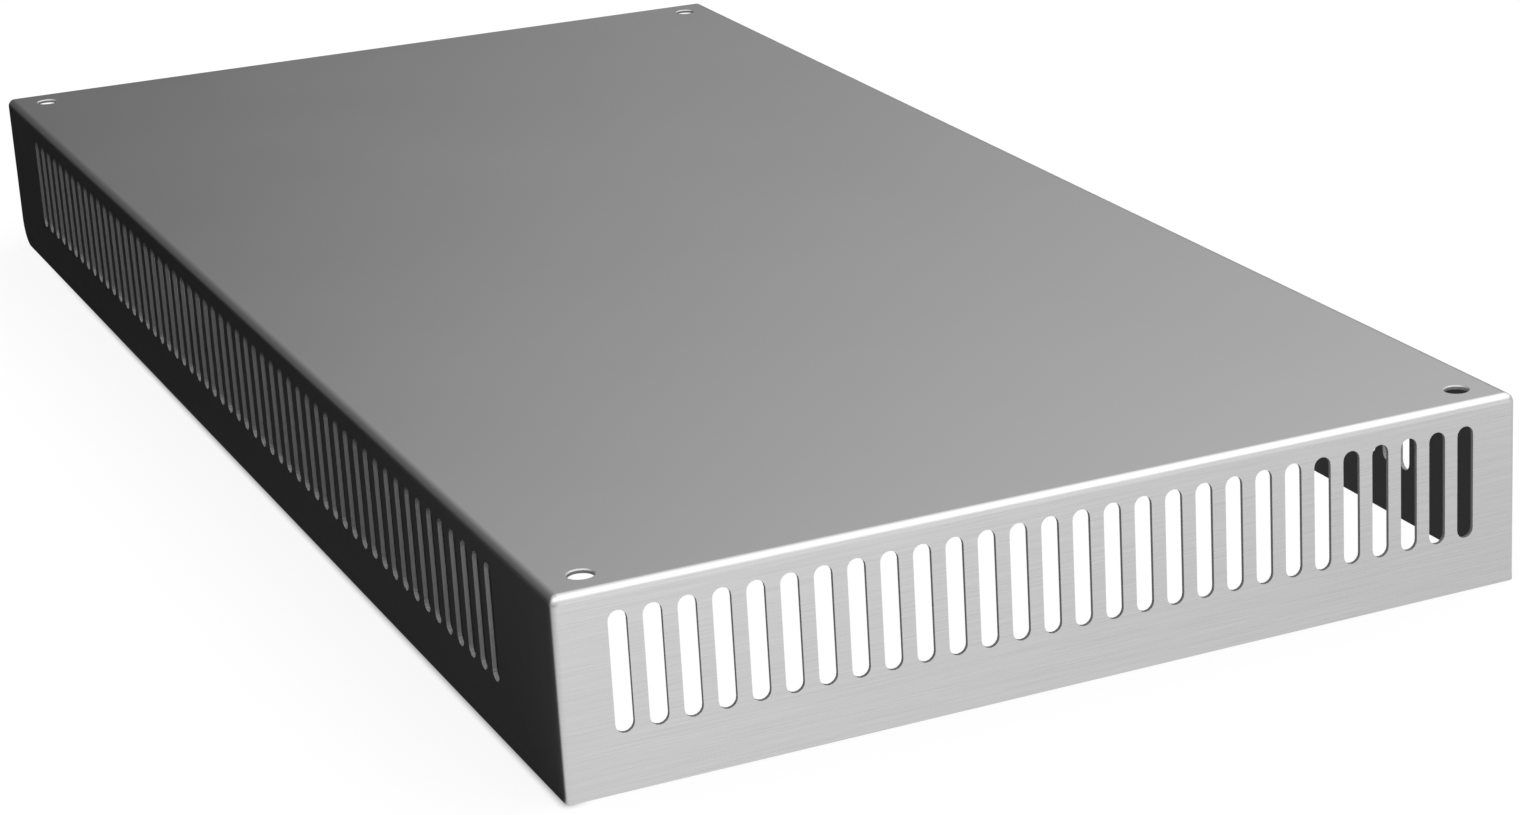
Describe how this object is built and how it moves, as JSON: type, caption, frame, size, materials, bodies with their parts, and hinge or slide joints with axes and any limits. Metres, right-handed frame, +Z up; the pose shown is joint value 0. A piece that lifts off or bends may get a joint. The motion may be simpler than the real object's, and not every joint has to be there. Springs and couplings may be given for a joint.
{
  "type": "vented terminal box cover",
  "caption": "Folded sheet metal cover for a terminal box: a shallow tray, open below and at the rear, with vent slots in its walls and screw holes in the corners of its top.",
  "frame": {"origin": "under the middle of the cover, level with the lower rim of its walls", "axes": "+Z up through the top plate, +Y along the cover from its front wall to its open rear end, +X across it"},
  "size_m": [0.245, 0.511, 0.048],
  "materials": {
    "cover_sheet": "stainless steel sheet with a fine satin grain that runs level along each wall"
  },
  "bodies": {
    "root": {"vented_cover": "cover_sheet"}
  },
  "joints": []
}
